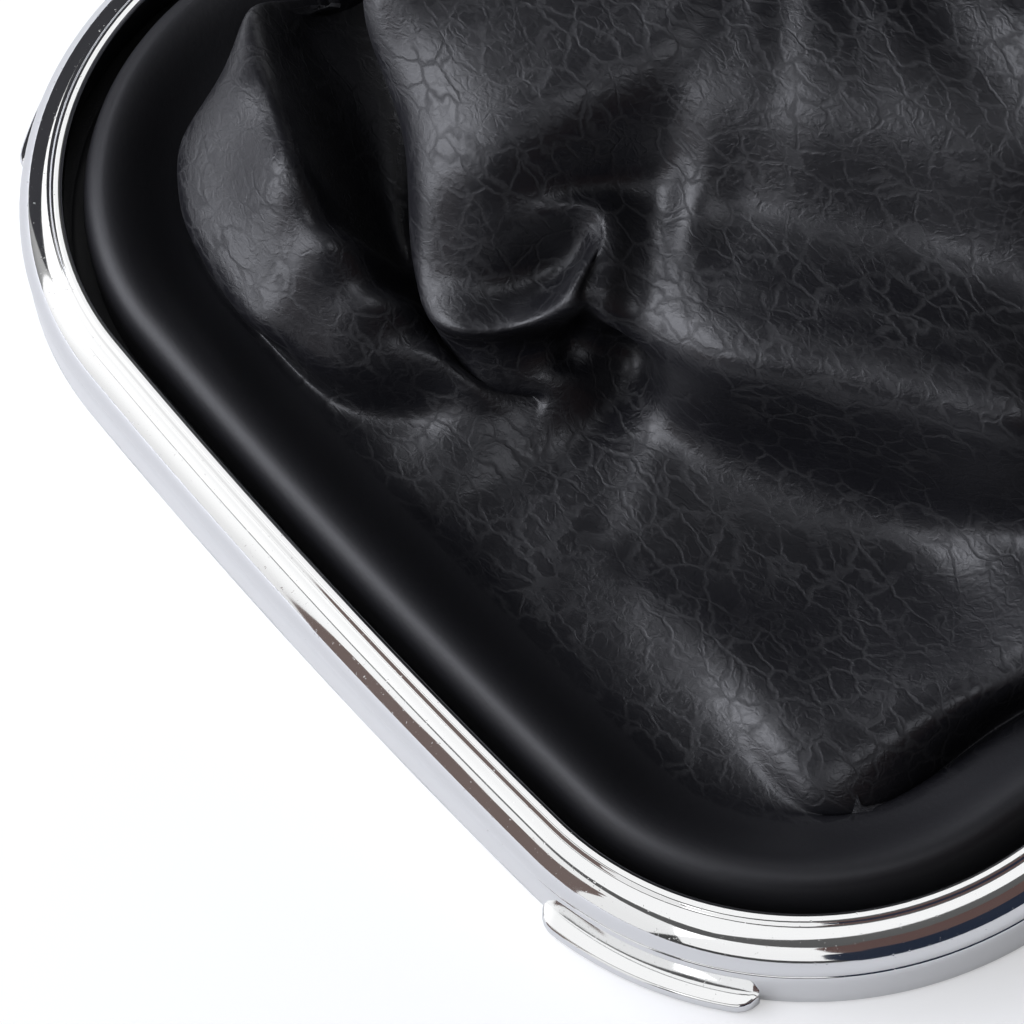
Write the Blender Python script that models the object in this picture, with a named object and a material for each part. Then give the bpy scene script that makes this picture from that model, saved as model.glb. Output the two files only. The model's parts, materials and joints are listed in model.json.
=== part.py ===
"""Gear lever gaiter: a leatherette boot in a chrome surround, gathered up to a neck collar.

Written in metres with +Z up. The origin is the middle of the frame, on the surface it stands on.
"""

import math

import bmesh
import bpy
import numpy as np

MM = 0.001

# Outer size of the chrome surround, its corners and how far its sides bow out
FRAME_LENGTH = 118.14 * MM
FRAME_WIDTH = 117.94 * MM
CORNER_RADIUS = 26.6 * MM
SIDE_BOW = math.radians(2.6)

# Chrome surround, a channel open below
BEZEL_HEIGHT = 7.8 * MM
BEZEL_WIDTH = 4.07 * MM
BEZEL_WALL = 1.2 * MM
BEAD_WIDTH = 1.05 * MM
BEAD_GROOVE = 0.38 * MM
SKIRT_HEIGHT = 4.3 * MM
SKIRT_STEP = 0.14 * MM
INNER_WALL_DEPTH = 5.6 * MM

# Plan of the inner edge of the chrome lip
LIP_HALF_LENGTH = FRAME_LENGTH / 2 - BEZEL_WIDTH
LIP_HALF_WIDTH = FRAME_WIDTH / 2 - BEZEL_WIDTH

# Fixing lugs at the foot of the surround
LUG_REACH = 1.5 * MM
LUG_THICKNESS = 1.3 * MM
LUG_LENGTH = 16.5 * MM
LUG_PLACE = 0.100

# Carrier frame that the leatherette is wrapped over
SEAT_GAP = 0.3 * MM
FLANGE_THICKNESS = 1.4 * MM
FLANGE_REACH = 2.4 * MM
CLIP_THICKNESS = 0.8 * MM
CLIP_HEIGHT = 4.6 * MM
CLIPS_PER_SIDE = 2
RIM_BEAD_REACH = 6.6 * MM
RIM_BEAD_FOOT = 1.0 * MM

# Leatherette boot: the rolled rim and the gutter inside it
SKIN_THICKNESS = 1.2 * MM
ROLL_GAP = 1.4 * MM
ROLL_CREST_INSET = 3.5 * MM
ROLL_CREST_HEIGHT = BEZEL_HEIGHT + 0.2 * MM
ROLL_SHOULDER = 3.2 * MM
HEM_HEIGHT = FLANGE_THICKNESS + 0.6 * MM
GUTTER_INSET = 10.4 * MM
GUTTER_DROP = 4.1 * MM
GUTTER_HEIGHT = BEZEL_HEIGHT - GUTTER_DROP

# Leatherette boot: the cone between the gutter and the neck
NECK_RADIUS = 17.4 * MM
NECK_HEIGHT = 66.0 * MM
NECK_SHIFT = (-23.0 * MM, 12.5 * MM)
SLEEVE_LENGTH = 13.0 * MM
WAIST_HEIGHT = 22.0 * MM
WAIST_RADIUS = 32.0 * MM
CONE_TAPER = 22.0 * MM
FOOT_DIP = 4.0 * MM
LEAN_END = 0.8
LEAN_POWER = 1.3
PLEATS = 18
PLEAT_DEPTH = 0.8 * MM

# Collar inside the neck and the tie round it
COLLAR_WALL = 1.8 * MM
COLLAR_LENGTH = 16.0 * MM
COLLAR_RIM = 2.2 * MM
TIE_THICKNESS = 1.3 * MM
TIE_WIDTH = 4.6 * MM
TIE_DROP = 6.0 * MM
TIE_HEAD_LENGTH = 6.4 * MM
TIE_HEAD_DEPTH = 4.4 * MM

# Numbers of sections
SIDE_STEPS = 2
CORNER_STEPS = 8
SKIN_STATIONS = 84
ROLL_ROWS = 8
CONE_ROWS = 21
ROUND_STATIONS = 32

# View that the folds were picked in by eye: a square picture, with its camera's turn, height
# angle, roll and distance, the point of the lip's plane it looks at, and its lens over its sensor
VIEW_PIXELS = 1024
VIEW_TURN = math.radians(61.513)
VIEW_ANGLE = math.radians(60.096)
VIEW_ROLL = math.radians(-11.373)
VIEW_DISTANCE = 607.856 * MM
VIEW_AIM = (5.059 * MM, -40.137 * MM)
VIEW_LENS = 268.273 / 36
PICK_STEP = 0.5 * MM

# Half sizes of the lip that the folds below are drawn for, and how much of them the far side has
DRAWN_HALF_LENGTH = 55.0 * MM
DRAWN_HALF_WIDTH = 54.9 * MM
FAR_SIDE_FOLDS = 0.45

# Folds of the boot, as lines that the surface passes through, each point picked by eye in that
# view: its pixels across and down, its height over the lip in millimetres, and how far up the
# cloth it lies as a share of the length from the gutter to the neck.
FOLDS = {
    "side_flank": [
        (182, 190, -2.8, 0.03), (196, 245, -1.8, 0.045), (228, 308, -0.8, 0.055),
        (274, 362, -0.5, 0.06), (326, 404, -1, 0.055), (385, 428, -2.2, 0.05), (440, 440, -3.6, 0.045),
    ],
    "side_ridge": [
        (236, 10, 5, 0.16), (266, 64, 7.5, 0.168), (300, 140, 9, 0.17), (338, 220, 9, 0.16),
        (378, 285, 7, 0.13), (415, 345, 3.5, 0.105), (450, 388, 0, 0.085), (485, 405, -2, 0.075),
        (532, 402, -2.5, 0.075),
    ],
    "deep_gutter": [
        (385, -5, -2.2, 0.31), (402, 50, -2.4, 0.32), (415, 120, -2.5, 0.32), (418, 220, -3, 0.29),
        (428, 300, -4, 0.22), (455, 365, -4.8, 0.17),
    ],
    "trunk_edge": [
        (428, -20, 20, 0.6), (413, 120, 14.5, 0.5), (409, 240, 9, 0.38), (438, 330, 4, 0.27),
        (498, 398, -3, 0.13),
    ],
    "shelf_edge": [
        (452, 180, 14, 0.5), (505, 128, 17, 0.53), (600, 84, 18.5, 0.555), (700, 68, 19, 0.56),
        (800, 76, 20, 0.565), (900, 84, 21, 0.57), (1010, 95, 21.5, 0.57),
    ],
    "shelf": [
        (462, 50, 18, 0.56), (520, -20, 19.5, 0.61), (620, -30, 20, 0.61), (740, -40, 21, 0.61),
        (880, -45, 22.5, 0.62), (1010, -45, 23.5, 0.62),
    ],
    "shelf_foot": [
        (450, 278, 7.5, 0.41), (500, 243, 9, 0.43), (560, 208, 10, 0.45), (620, 198, 10.5, 0.46),
        (720, 225, 11, 0.46), (800, 240, 11.5, 0.46), (900, 258, 12, 0.46), (1010, 290, 12, 0.46),
    ],
    "lobe_edge": [
        (472, 315, 8.0, 0.36), (520, 325, 8.6, 0.355), (562, 312, 9.0, 0.36),
    ],
    "lobe_low": [
        (470, 362, 3.5, 0.27), (522, 372, 4, 0.26), (566, 352, 4.5, 0.27),
    ],
    "ridge_back": [
        (318, 20, -1, 0.22), (332, 75, -1, 0.23), (352, 140, -0.5, 0.23), (380, 218, 0, 0.22),
        (408, 280, -1, 0.19), (432, 330, -2, 0.16),
    ],
    "apron_left": [
        (455, 500, -4.6, 0.05), (540, 470, -4.6, 0.1), (600, 480, -4.2, 0.15), (650, 500, -3.5, 0.17),
    ],
    "lobe_foot": [
        (478, 392, -2, 0.14), (525, 396, -2, 0.14), (575, 372, -1, 0.17),
    ],
    "lobe_side": [
        (598, 260, 8, 0.39), (598, 320, 4, 0.3), (592, 378, -2, 0.19),
    ],
    "belt_ridge": [
        (640, 318, 9.5, 0.395), (720, 330, 12, 0.4), (800, 343, 13, 0.4), (900, 364, 13.5, 0.4),
        (1000, 395, 13.5, 0.4),
    ],
    "belt_foot": [
        (618, 425, -1, 0.23), (700, 455, 0.5, 0.27), (800, 466, 2.5, 0.29), (900, 488, 4, 0.3),
        (1000, 513, 5, 0.3),
    ],
    "apron": [
        (560, 500, -4.6, 0.11), (650, 560, -4.4, 0.14), (760, 600, -3.6, 0.18), (860, 620, -2.5, 0.19),
        (960, 600, -0.5, 0.2),
    ],
    "apron_tip": [
        (560, 560, -4.8, 0.05), (640, 660, -4.5, 0.05), (730, 745, -4.2, 0.05), (800, 803, -4, 0.045),
    ],
    "pleat_edge": [
        (825, 810, -3.5, 0.05), (870, 775, -2, 0.09), (930, 725, 0, 0.12), (1000, 672, 1.5, 0.15),
        (1060, 630, 3, 0.17),
    ],
    "pleat_foot": [
        (856, 830, -5.4, 0.025), (905, 800, -6, 0.03), (965, 757, -6, 0.03), (1030, 715, -6, 0.035),
    ],
}
FOLD_SOFTNESS = 3.4 * MM
FOLD_SPACING = 4.5 * MM


def corner_arcs():
    """Tangent arcs of the lip's plan, as radius, start heading and end heading."""
    sine, cosine = math.sin(SIDE_BOW), math.cos(SIDE_BOW)
    spans = np.array([[sine, 1 - cosine], [1 - cosine, sine]])
    corner = CORNER_RADIUS * (cosine - sine)
    long_radius, short_radius = np.linalg.solve(spans, [LIP_HALF_LENGTH - corner, LIP_HALF_WIDTH - corner])
    arcs = []
    for quarter in range(4):
        turn = quarter * math.pi / 2
        first, last = (long_radius, short_radius) if quarter % 2 == 0 else (short_radius, long_radius)
        arcs.append((first, turn, turn + SIDE_BOW))
        arcs.append((CORNER_RADIUS, turn + SIDE_BOW, turn + math.pi / 2 - SIDE_BOW))
        arcs.append((last, turn + math.pi / 2 - SIDE_BOW, turn + math.pi / 2))
    return arcs


def lip_outline(fractions):
    """Plan points and outward normals at fractions of the lip's length, anticlockwise."""
    arcs = corner_arcs()
    lengths = np.array([radius * (end - start) for radius, start, end in arcs])
    ends = np.cumsum(lengths)
    x, y = 0.0, -LIP_HALF_WIDTH
    starts = []
    for radius, start, end in arcs:
        starts.append((x, y))
        x += radius * (math.sin(end) - math.sin(start))
        y += radius * (math.cos(start) - math.cos(end))
    distances = np.mod(np.asarray(fractions, float), 1.0) * ends[-1]
    places = np.minimum(np.searchsorted(ends, distances, side="right"), len(arcs) - 1)
    points, normals = [], []
    for distance, place in zip(distances, places):
        radius, start, _ = arcs[place]
        heading = start + (distance - ends[place] + lengths[place]) / radius
        x, y = starts[place]
        points.append((x + radius * (math.sin(heading) - math.sin(start)), y + radius * (math.cos(start) - math.cos(heading))))
        normals.append((math.sin(heading), -math.cos(heading)))
    return np.array(points), np.array(normals)


def frame_stations():
    """Fractions of the lip's length, closer together round the corners."""
    arcs = corner_arcs()
    lengths = np.array([radius * (end - start) for radius, start, end in arcs])
    ends = np.concatenate([[0.0], np.cumsum(lengths)]) / lengths.sum()
    fractions = []
    for place, (radius, start, end) in enumerate(arcs):
        steps = CORNER_STEPS if radius == CORNER_RADIUS else SIDE_STEPS
        fractions.extend(np.linspace(ends[place], ends[place + 1], steps, endpoint=False))
    return np.array(fractions)


def even_stations(count):
    """Fractions that space the directions seen from the middle and the lengths alike."""
    fine = np.linspace(0.0, 1.0, 2000, endpoint=False)
    points, _ = lip_outline(fine)
    bearing = np.unwrap(np.arctan2(points[:, 1], points[:, 0]))
    bearing = (bearing - bearing[0]) / (2 * math.pi)
    mixed = 0.5 * bearing + 0.5 * fine
    return np.interp(np.arange(count) / count, np.append(mixed, 1.0), np.append(fine, 1.0))


def new_object(name, vertices, faces, material, smooth_angle=None):
    """Mesh object with its own material, its faces pointing out."""
    mesh = bpy.data.meshes.new(name)
    mesh.from_pydata([tuple(map(float, vertex)) for vertex in vertices], [], faces)
    mesh.update()
    work = bmesh.new()
    work.from_mesh(mesh)
    bmesh.ops.recalc_face_normals(work, faces=work.faces)
    work.to_mesh(mesh)
    work.free()
    if smooth_angle is not None:
        mesh.shade_smooth()
        mesh.set_sharp_from_angle(angle=math.radians(smooth_angle))
    mesh.materials.append(material)
    item = bpy.data.objects.new(name, mesh)
    bpy.context.scene.collection.objects.link(item)
    return item


def new_material(name, colour, roughness, metallic=0.0):
    """Principled material of one colour."""
    material = bpy.data.materials.new(name)
    material.use_nodes = True
    shader = next(node for node in material.node_tree.nodes if node.type == "BSDF_PRINCIPLED")
    shader.inputs["Base Color"].default_value = (*colour, 1.0)
    shader.inputs["Roughness"].default_value = roughness
    shader.inputs["Metallic"].default_value = metallic
    material.diffuse_color = (*colour, 1.0)
    return material


def swept_ring(sections):
    """Vertices and faces of closed sections joined round in a ring.

    sections has the shape stations x points x 3.
    """
    sections = np.asarray(sections)
    stations, points, _ = sections.shape
    faces = []
    for station in range(stations):
        following = (station + 1) % stations
        for point in range(points):
            after = (point + 1) % points
            faces.append((station * points + point, following * points + point, following * points + after, station * points + after))
    return sections.reshape(-1, 3), faces


def frame_ring(section, fractions):
    """Sections of a ring that follows the lip.

    section gives outward offsets from the lip's edge and heights, alike all round or by station.
    """
    points, normals = lip_outline(fractions)
    section = np.asarray(section, float)
    if section.ndim == 2:
        section = np.repeat(section[None], len(fractions), axis=0)
    plan = points[:, None, :] + normals[:, None, :] * section[:, :, :1]
    return np.concatenate([plan, section[:, :, 1:]], axis=2)


def bezel_section():
    """Section of the chrome surround, from the foot of the inner wall round over the lip."""
    wall_foot = BEZEL_HEIGHT - INNER_WALL_DEPTH
    bead_middle = 0.5 * BEAD_WIDTH
    section = [(0.0, wall_foot)]
    for step in range(5):
        turn = math.pi * (1 - step / 4 * 0.86)
        section.append((bead_middle + bead_middle * math.cos(turn), BEZEL_HEIGHT - BEAD_GROOVE * (1 - math.sin(turn))))
    face_width = BEZEL_WIDTH - BEAD_WIDTH - 0.05 * MM
    face_drop = BEZEL_HEIGHT - BEAD_GROOVE - SKIRT_HEIGHT
    for step in range(8):
        turn = math.radians(86 - step * 11.6)
        section.append((BEAD_WIDTH + face_width * math.cos(turn), SKIRT_HEIGHT + face_drop * math.sin(turn)))
    skirt_top = BEZEL_WIDTH - 0.1 * MM
    section.append((skirt_top - SKIRT_STEP, SKIRT_HEIGHT - 0.12 * MM))
    section.append((skirt_top, SKIRT_HEIGHT - 0.32 * MM))
    section.append((BEZEL_WIDTH, 0.25 * MM))
    section.append((BEZEL_WIDTH - 0.2 * MM, 0.0))
    section.append((BEZEL_WIDTH - BEZEL_WALL, 0.0))
    section.append((BEZEL_WIDTH - BEZEL_WALL - 0.1 * MM, SKIRT_HEIGHT - 0.3 * MM))
    section.append((BEZEL_WIDTH - 1.6 * BEZEL_WALL, BEZEL_HEIGHT - 2.3 * BEZEL_WALL))
    section.append((BEZEL_WALL, BEZEL_HEIGHT - 1.6 * BEZEL_WALL))
    section.append((BEZEL_WALL, wall_foot))
    return section


def lug_sections(middle):
    """Sections of one fixing lug, a strip along the foot of the surround with rounded ends."""
    arcs = corner_arcs()
    perimeter = sum(radius * (end - start) for radius, start, end in arcs)
    steps = 14
    fractions = middle + (np.arange(steps + 1) / steps - 0.5) * LUG_LENGTH / perimeter
    root = BEZEL_WIDTH - 0.6 * BEZEL_WALL
    sections = []
    for step, fraction in enumerate(fractions):
        end = min(step, steps - step) / 2.0
        reach = LUG_REACH * math.sqrt(1 - max(0.0, 1 - end) ** 2) if end < 1 else LUG_REACH
        reach = max(reach, 0.35 * LUG_REACH)
        tip = BEZEL_WIDTH + reach
        section = [(root, 0.0), (tip, 0.0), (tip, LUG_THICKNESS - 0.3 * MM), (tip - 0.3 * MM, LUG_THICKNESS), (root, LUG_THICKNESS)]
        sections.append(section)
    return frame_ring(sections, fractions)


def strip(sections):
    """Vertices and faces of closed sections joined in a row, with end caps."""
    sections = np.asarray(sections)
    stations, points, _ = sections.shape
    faces = [tuple(range(points)), tuple((stations - 1) * points + point for point in reversed(range(points)))]
    for station in range(stations - 1):
        for point in range(points):
            after = (point + 1) % points
            faces.append((station * points + point, (station + 1) * points + point, (station + 1) * points + after, station * points + after))
    return sections.reshape(-1, 3), faces


def roll_profile(count):
    """Inset from the lip and height of the rolled rim, from the hem over the crest to the gutter."""
    side_top = ROLL_CREST_HEIGHT - ROLL_SHOULDER
    rise = side_top - HEM_HEIGHT
    shoulder = 0.5 * math.pi * 0.5 * (ROLL_SHOULDER + ROLL_CREST_INSET - ROLL_GAP)
    fall = math.hypot(GUTTER_INSET - ROLL_CREST_INSET, ROLL_CREST_HEIGHT - GUTTER_HEIGHT)
    total = rise + shoulder + fall
    profile = []
    for step in range(count):
        length = total * step / count
        if length < rise:
            profile.append((ROLL_GAP, HEM_HEIGHT + length))
        elif length < rise + shoulder:
            turn = (length - rise) / shoulder * math.pi / 2
            profile.append((ROLL_CREST_INSET - (ROLL_CREST_INSET - ROLL_GAP) * math.cos(turn), side_top + ROLL_SHOULDER * math.sin(turn)))
        else:
            share = (length - rise - shoulder) / fall
            drop = 0.5 - 0.5 * math.cos(math.pi * share)
            profile.append((ROLL_CREST_INSET + share * (GUTTER_INSET - ROLL_CREST_INSET), ROLL_CREST_HEIGHT - drop * (ROLL_CREST_HEIGHT - GUTTER_HEIGHT)))
    return profile


def lean_share(share):
    """How much of the neck's shift the boot has at a share of the way up."""
    return np.clip(share / LEAN_END, 0.0, 1.0) ** LEAN_POWER


def cone_point(share, plan, normal):
    """Point of the plain leaning cone at a share of the way up from the gutter, for arrays of stations."""
    height = GUTTER_HEIGHT + (NECK_HEIGHT - GUTTER_HEIGHT) * (0.45 * share + 0.55 * share ** 2)
    height = height - FOOT_DIP * np.exp(-share / 0.05) * share / 0.05
    round_off = np.clip(share / 0.46, 0.0, 1.0)
    round_off = round_off ** 2 * (3 - 2 * round_off)
    slope = (WAIST_RADIUS - NECK_RADIUS) / (NECK_HEIGHT - SLEEVE_LENGTH - WAIST_HEIGHT)
    radius = NECK_RADIUS + slope * np.maximum(NECK_HEIGHT - SLEEVE_LENGTH - height, 0.0)
    inset = plan - normal * (GUTTER_INSET + CONE_TAPER * share)
    bearing = plan / np.linalg.norm(plan, axis=-1, keepdims=True)
    flat = inset * (1 - round_off) + bearing * radius * round_off
    flat = flat + np.array(NECK_SHIFT) * lean_share(share)
    return np.concatenate([flat, height], axis=-1)


def catmull_rom(points, spacing):
    """Points at about equal spacing on a smooth line through the given ones."""
    points = np.asarray(points, float)
    padded = np.vstack([2 * points[0] - points[1], points, 2 * points[-1] - points[-2]])
    line = []
    for place in range(len(points) - 1):
        before, start, end, after = padded[place:place + 4]
        steps = max(1, round(np.linalg.norm((end - start)[:3]) / spacing))
        for step in range(steps):
            t = step / steps
            line.append(0.5 * (2 * start + (end - before) * t + (2 * before - 5 * start + 4 * end - after) * t ** 2 + (3 * start - before - 3 * end + after) * t ** 3))
    line.append(points[-1])
    return np.array(line)


def bearing_fractions(bearings):
    """Fractions of the lip's length at which it is seen in the given directions."""
    fine = np.linspace(0.0, 1.0, 4000, endpoint=False)
    points, _ = lip_outline(fine)
    seen = np.unwrap(np.arctan2(points[:, 1], points[:, 0]))
    wanted = np.mod(bearings - seen[0], 2 * math.pi) + seen[0]
    return np.interp(wanted, np.append(seen, seen[0] + 2 * math.pi), np.append(fine, 1.0))


def picked_place(across, down, height):
    """Plan position of a picked pixel at a height over the lip, to the nearest step."""
    flat = math.cos(VIEW_ANGLE)
    back = np.array((math.sin(VIEW_TURN) * flat, -math.cos(VIEW_TURN) * flat, math.sin(VIEW_ANGLE)))
    level = np.array((math.cos(VIEW_TURN), math.sin(VIEW_TURN), 0.0))
    upright = np.cross(back, level)
    right = level * math.cos(VIEW_ROLL) + upright * math.sin(VIEW_ROLL)
    up = upright * math.cos(VIEW_ROLL) - level * math.sin(VIEW_ROLL)
    eye = np.array((*VIEW_AIM, 0.0)) + back * VIEW_DISTANCE
    middle, pixel = VIEW_PIXELS / 2, 1 / (VIEW_LENS * VIEW_PIXELS)
    ray = right * (across - middle) * pixel + up * (middle - down) * pixel - back
    place = eye + ray * (height - eye[2]) / ray[2]
    return np.round(place[:2] / PICK_STEP) * PICK_STEP


def fold_weights():
    """Centres on the plain cone and their weights, for the folds' displacement of the boot."""
    centres, moves = [], []
    along, across = LIP_HALF_LENGTH / DRAWN_HALF_LENGTH, LIP_HALF_WIDTH / DRAWN_HALF_WIDTH
    for points in FOLDS.values():
        drawn = []
        for pixel_across, pixel_down, height, share in points:
            x, y = picked_place(pixel_across, pixel_down, height * MM)
            drawn.append((x * along, y * across, height * MM + BEZEL_HEIGHT, share))
        line = catmull_rom(drawn, FOLD_SPACING)
        share = line[:, 3:]
        seen = line[:, :2] - np.array(NECK_SHIFT) * lean_share(share)
        turns = bearing_fractions(np.arctan2(seen[:, 1], seen[:, 0]))
        plan, normal = lip_outline(turns)
        move = line[:, :3] - cone_point(share, plan, normal)
        # The far side has the same folds half a turn round, but flatter
        for turn, part in ((0.0, np.ones(3)), (0.5, FAR_SIDE_FOLDS * np.array((-1.0, -1.0, 1.0)))):
            plan, normal = lip_outline(np.mod(turns + turn, 1.0))
            centres.extend(cone_point(share, plan, normal))
            moves.extend(move * part)
    # Places that stay on the plain cone: the gutter, the neck and between the two sets of folds
    for share, count in ((-0.03, 60), (0.0, 90), (0.80, 16), (0.9, 16), (1.0, 16)):
        plan, normal = lip_outline(np.arange(count) / count)
        centres.extend(cone_point(np.full((count, 1), max(share, 0.0)), plan, normal) + (0, 0, min(share, 0.0) * 0.1))
        moves.extend(np.zeros((count, 3)))
    for bearing in (math.radians(9), math.radians(189)):
        for share in (0.15, 0.3, 0.45, 0.6):
            plan, normal = lip_outline(bearing_fractions(np.array([bearing])))
            centres.extend(cone_point(np.array([[share]]), plan, normal))
            moves.append((0.0, 0.0, 0.0))
    centres, moves = np.array(centres), np.array(moves)
    distance = np.linalg.norm(centres[:, None] - centres[None], axis=2)
    kernel = np.sqrt(distance ** 2 + FOLD_SOFTNESS ** 2)
    ones = np.ones((len(centres), 1))
    system = np.block([[kernel - 0.02 * MM * np.eye(len(centres)), ones], [ones.T, np.zeros((1, 1))]])
    weights = np.linalg.solve(system, np.vstack([moves, np.zeros((1, 3))]))
    return centres, weights


def folded(base, centres, weights):
    """Points of the boot once the folds have moved them."""
    result = np.empty_like(base)
    for start in range(0, len(base), 2000):
        block = base[start:start + 2000]
        distance = np.linalg.norm(block[:, None] - centres[None], axis=2)
        result[start:start + 2000] = block + np.sqrt(distance ** 2 + FOLD_SOFTNESS ** 2) @ weights[:-1] + weights[-1]
    return result


def skin_surface(stations, roll_rows, cone_rows):
    """Outer surface of the boot, rows from the hem to the neck x stations x 3."""
    fractions = even_stations(stations)
    plan, normal = lip_outline(fractions)
    rows = []
    for inset, height in roll_profile(roll_rows):
        rows.append(np.column_stack([plan - normal * inset, np.full(stations, height)]))
    centres, weights = fold_weights()
    for row in range(cone_rows):
        share = (row / (cone_rows - 1)) ** 1.2
        base = cone_point(np.full((stations, 1), share), plan, normal)
        moved = folded(base, centres, weights)
        hold = min(1.0, share / 0.03) * min(1.0, max(0.0, (0.80 - share) / 0.1))
        point = base + (moved - base) * hold
        # Pleats gathered in by the tie
        ramp = np.clip((share - 0.52) / 0.3, 0.0, 1.0)
        near_tie = np.clip((NECK_HEIGHT - TIE_DROP - TIE_WIDTH - base[:, 2:]) / (16.0 * MM), 0.0, 1.0)
        bearing = np.arctan2(plan[:, 1:], plan[:, :1])
        wave = PLEAT_DEPTH * ramp * np.sqrt(near_tie) * (1 + np.cos(PLEATS * bearing))
        point[:, :2] += wave * plan / np.linalg.norm(plan, axis=1, keepdims=True)
        rows.append(point)
    return np.array(rows)


def surface_normals(grid):
    """Unit normals of a grid of points that closes round its second axis."""
    across = np.roll(grid, -1, axis=1) - np.roll(grid, 1, axis=1)
    along = np.gradient(grid, axis=0)
    normal = np.cross(across, along)
    return normal / np.linalg.norm(normal, axis=2, keepdims=True)


def build_skin(material):
    """Boot of leatherette, a closed shell of even thickness that is open below and at the neck."""
    outer = skin_surface(SKIN_STATIONS, ROLL_ROWS, CONE_ROWS)
    inner = outer - surface_normals(outer) * SKIN_THICKNESS
    inner[0, :, 2] = outer[0, :, 2]
    inner[-1, :, 2] = outer[-1, :, 2]
    sections = np.concatenate([outer, inner[::-1]], axis=0).transpose(1, 0, 2)
    vertices, faces = swept_ring(sections)
    return new_object("gaiter_skin", vertices, faces, material, 60)


def build_carrier(material):
    """Carrier frame: a bead under the rolled rim, a flange below the surround and clips into it."""
    fractions = frame_stations()
    profile = np.array(roll_profile(14))
    along = np.gradient(profile, axis=0)
    inward = np.column_stack([along[:, 1], -along[:, 0]])
    inward /= np.linalg.norm(inward, axis=1, keepdims=True)
    bead = profile + inward * (SKIN_THICKNESS + SEAT_GAP)
    bead = bead[(bead[:, 1] > FLANGE_THICKNESS + RIM_BEAD_FOOT) & (profile[:, 0] < RIM_BEAD_REACH)]
    clip_stations = set()
    for side in range(4):
        for clip in range(CLIPS_PER_SIDE):
            middle = side / 4 + (clip - (CLIPS_PER_SIDE - 1) / 2) * 0.09
            distance = np.abs(np.mod(fractions - middle + 0.5, 1.0) - 0.5)
            clip_stations.update(np.argsort(distance)[:2])
    sections = []
    for station in range(len(fractions)):
        top = CLIP_HEIGHT if station in clip_stations else FLANGE_THICKNESS + 0.25 * MM
        section = [(FLANGE_REACH, 0.0), (FLANGE_REACH, top), (FLANGE_REACH - CLIP_THICKNESS, top), (FLANGE_REACH - CLIP_THICKNESS, FLANGE_THICKNESS)]
        section.append((-bead[0][0], FLANGE_THICKNESS))
        section.extend((-inset, height) for inset, height in bead)
        section.append((-bead[-1][0], 0.0))
        sections.append(section)
    vertices, faces = swept_ring(frame_ring(sections, fractions))
    return new_object("carrier_frame", vertices, faces, material, 35)


def build_bezel(material):
    """Chrome surround with its fixing lugs."""
    vertices, faces = swept_ring(frame_ring(bezel_section(), frame_stations()))
    bezel = new_object("chrome_bezel", vertices, faces, material, 40)
    for quarter in range(4):
        vertices, faces = strip(lug_sections(LUG_PLACE + quarter / 4))
        lug = new_object("lug_%d" % quarter, vertices, faces, material)
        lug.hide_render = True
        lug.display_type = "WIRE"
        join = bezel.modifiers.new("lug", "BOOLEAN")
        join.operation = "UNION"
        join.object = lug
    return bezel


def turned(name, profile, material, smooth_angle=40):
    """Ring turned round the neck's axis from a closed profile of radii and heights."""
    sections = []
    for station in range(ROUND_STATIONS):
        turn = 2 * math.pi * station / ROUND_STATIONS
        x, y = math.cos(turn), math.sin(turn)
        sections.append([(NECK_SHIFT[0] + radius * x, NECK_SHIFT[1] + radius * y, height) for radius, height in profile])
    vertices, faces = swept_ring(sections)
    return new_object(name, vertices, faces, material, smooth_angle)


def build_collar(material):
    """Collar inside the neck, with a rim that covers the cut edge of the boot."""
    outer = NECK_RADIUS - SKIN_THICKNESS - SEAT_GAP
    bore = outer - COLLAR_WALL
    foot = NECK_HEIGHT - COLLAR_LENGTH
    rim = NECK_RADIUS + 0.9 * MM
    seat = NECK_HEIGHT + SEAT_GAP
    top = seat + COLLAR_RIM
    profile = [(bore + 0.4 * MM, foot), (outer - 0.4 * MM, foot), (outer, foot + 1.0 * MM), (outer, seat)]
    profile += [(rim - 0.2 * MM, seat), (rim, seat + 0.3 * MM), (rim, top - 0.7 * MM), (rim - 0.7 * MM, top)]
    profile += [(bore + 0.5 * MM, top), (bore, top - 0.5 * MM), (bore, foot + 0.5 * MM)]
    return turned("neck_collar", profile, material)


def build_tie(material):
    """Tie drawn round the neck, with its head."""
    middle = NECK_HEIGHT - TIE_DROP
    inner = NECK_RADIUS + SEAT_GAP
    low, high = middle - TIE_WIDTH / 2, middle + TIE_WIDTH / 2
    edge = 0.3 * MM
    profile = [(inner, low), (inner + TIE_THICKNESS - edge, low), (inner + TIE_THICKNESS, low + edge), (inner + TIE_THICKNESS, high - edge)]
    profile += [(inner + TIE_THICKNESS - edge, high), (inner, high)]
    tie = turned("neck_tie", profile, material)
    head_mesh = bpy.data.meshes.new("tie_head")
    work = bmesh.new()
    bmesh.ops.create_cube(work, size=1.0)
    bmesh.ops.scale(work, vec=(TIE_HEAD_LENGTH, TIE_HEAD_DEPTH, TIE_WIDTH + 1.4 * MM), verts=work.verts)
    bmesh.ops.bevel(work, geom=work.edges[:], offset=0.6 * MM, segments=2, affect="EDGES", profile=0.5)
    bmesh.ops.translate(work, vec=(NECK_SHIFT[0], NECK_SHIFT[1] + inner + 0.5 * MM + TIE_HEAD_DEPTH / 2, middle), verts=work.verts)
    work.to_mesh(head_mesh)
    work.free()
    head_mesh.materials.append(material)
    head = bpy.data.objects.new("tie_head", head_mesh)
    bpy.context.scene.collection.objects.link(head)
    head.hide_render = True
    head.display_type = "WIRE"
    join = tie.modifiers.new("head", "BOOLEAN")
    join.operation = "UNION"
    join.object = head
    return tie


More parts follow.
